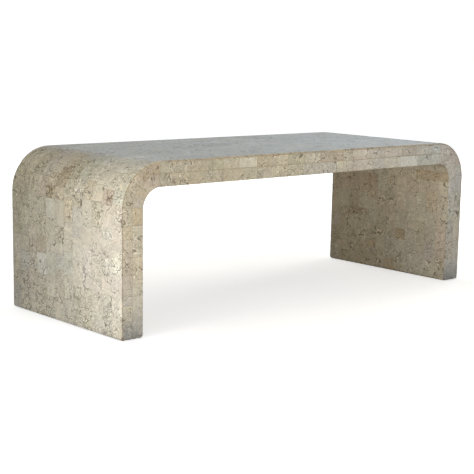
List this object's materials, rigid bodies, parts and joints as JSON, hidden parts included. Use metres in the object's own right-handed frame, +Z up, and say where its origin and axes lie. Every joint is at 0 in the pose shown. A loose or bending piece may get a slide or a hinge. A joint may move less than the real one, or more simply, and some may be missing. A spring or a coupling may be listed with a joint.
{
  "type": "waterfall coffee table",
  "caption": "Low waterfall coffee table: one band of constant thickness forms top, rounded corners and slab legs, clad in flush tessellated stone over a hollow timber carcass.",
  "frame": {"origin": "on the floor, under the middle of the table", "axes": "+X along the table's length, +Y from the front to the back, +Z up"},
  "size_m": [1.22, 0.465, 0.4064],
  "materials": {
    "stone": "honed and lacquered tessellated fossil marble, cream to tan, satin",
    "plywood": "raw birch plywood",
    "softwood": "planed softwood",
    "dowel_beech": "fluted beech dowel, glued",
    "screw_steel": "zinc plated",
    "nylon": "moulded nylon"
  },
  "bodies": {
    "root": {"back_apron_stone": "stone", "back_left_corner_edge_stone": "stone", "back_left_leg_edge_stone": "stone", "back_right_corner_edge_stone": "stone", "back_right_leg_edge_stone": "stone", "front_apron_stone": "stone", "front_left_corner_edge_stone": "stone", "front_left_leg_edge_stone": "stone", "front_right_corner_edge_stone": "stone", "front_right_leg_edge_stone": "stone", "glide_screws": "screw_steel", "glides": "nylon", "left_corner_dowels": "dowel_beech", "left_corner_end_formers": "softwood", "left_corner_inner_ply": "plywood", "left_corner_mid_formers": "softwood", "left_corner_outer_ply": "plywood", "left_corner_splines": "plywood", "left_corner_stone": "stone", "left_cove_stone": "stone", "left_leg_back_stile": "softwood", "left_leg_base_rail": "softwood", "left_leg_front_stile": "softwood", "left_leg_head_rail": "softwood", "left_leg_inner_panel": "plywood", "left_leg_inner_stone": "stone", "left_leg_mid_stiles": "softwood", "left_leg_outer_panel": "plywood", "left_leg_outer_stone": "stone", "left_leg_panel_screws": "screw_steel", "right_corner_dowels": "dowel_beech", "right_corner_end_formers": "softwood", "right_corner_inner_ply": "plywood", "right_corner_mid_formers": "softwood", "right_corner_outer_ply": "plywood", "right_corner_splines": "plywood", "right_corner_stone": "stone", "right_cove_stone": "stone", "right_leg_back_stile": "softwood", "right_leg_base_rail": "softwood", "right_leg_front_stile": "softwood", "right_leg_head_rail": "softwood", "right_leg_inner_panel": "plywood", "right_leg_inner_stone": "stone", "right_leg_mid_stiles": "softwood", "right_leg_outer_panel": "plywood", "right_leg_outer_stone": "stone", "right_leg_panel_screws": "screw_steel", "top_back_rail": "softwood", "top_cross_ribs": "softwood", "top_front_rail": "softwood", "top_lower_panel": "plywood", "top_panel_screws": "screw_steel", "top_stone": "stone", "top_upper_panel": "plywood", "underside_stone": "stone"}
  },
  "joints": []
}
